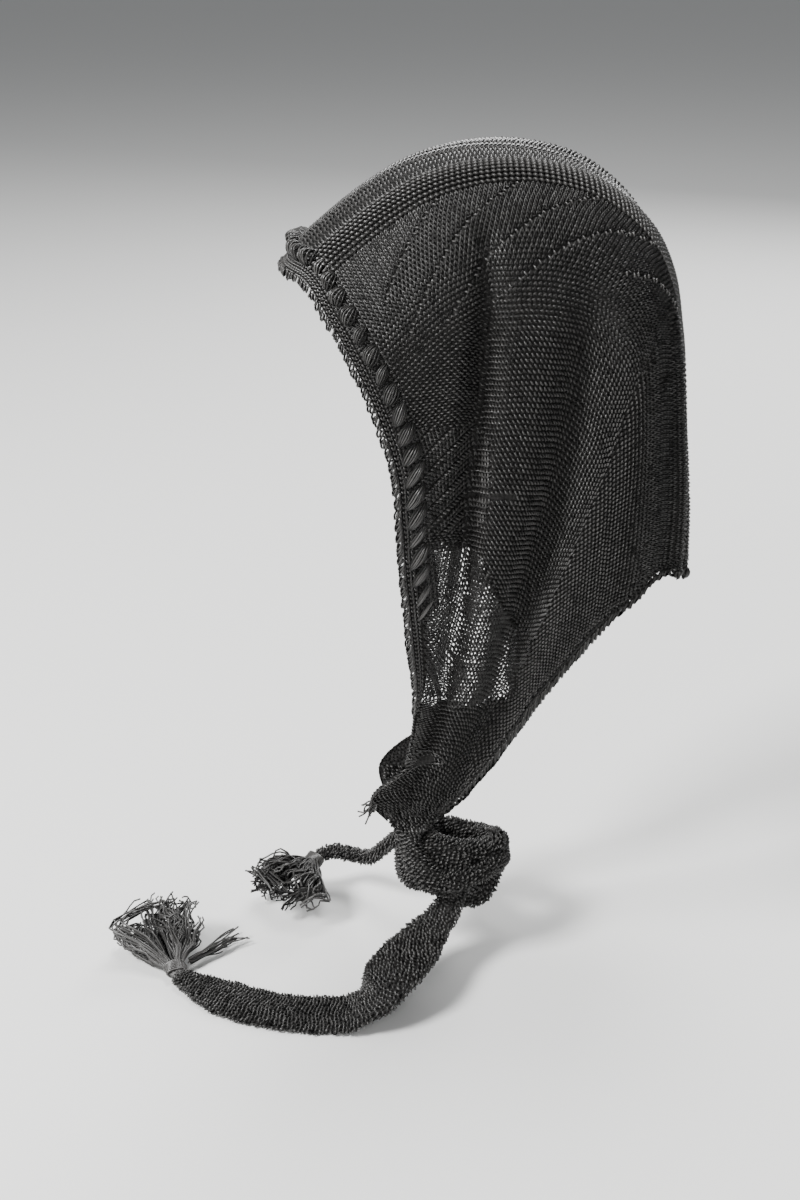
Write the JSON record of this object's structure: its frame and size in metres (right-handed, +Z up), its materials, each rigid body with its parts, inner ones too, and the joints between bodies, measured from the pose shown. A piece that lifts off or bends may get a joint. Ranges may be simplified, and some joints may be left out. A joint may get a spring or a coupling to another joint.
{
  "type": "knitted bonnet",
  "caption": "Fine-knit bonnet with a hollow hood, braided face edge, picot edgings, lappets knotted at the throat and two tasselled ties.",
  "frame": {"origin": "highest point of the hollow inside the crown, where the bonnet sits on a head", "axes": "+Z up through the crown, -Y out of the face opening, +X to the wearer's left"},
  "size_m": [0.1902, 0.3358, 0.4765],
  "materials": {
    "hood_yarn": "fine black yarn, knitted, matt with small glints",
    "trim_yarn": "black yarn, crocheted and cabled",
    "tie_yarn": "charcoal yarn in garter stitch"
  },
  "bodies": {
    "root": {"hood": "hood_yarn", "front_braid": "trim_yarn", "face_edging": "trim_yarn", "hem_edging": "trim_yarn", "knot": "tie_yarn", "tie_left": "tie_yarn", "tie_right": "tie_yarn", "tassel_left": "tie_yarn", "tassel_right": "tie_yarn"}
  },
  "joints": []
}
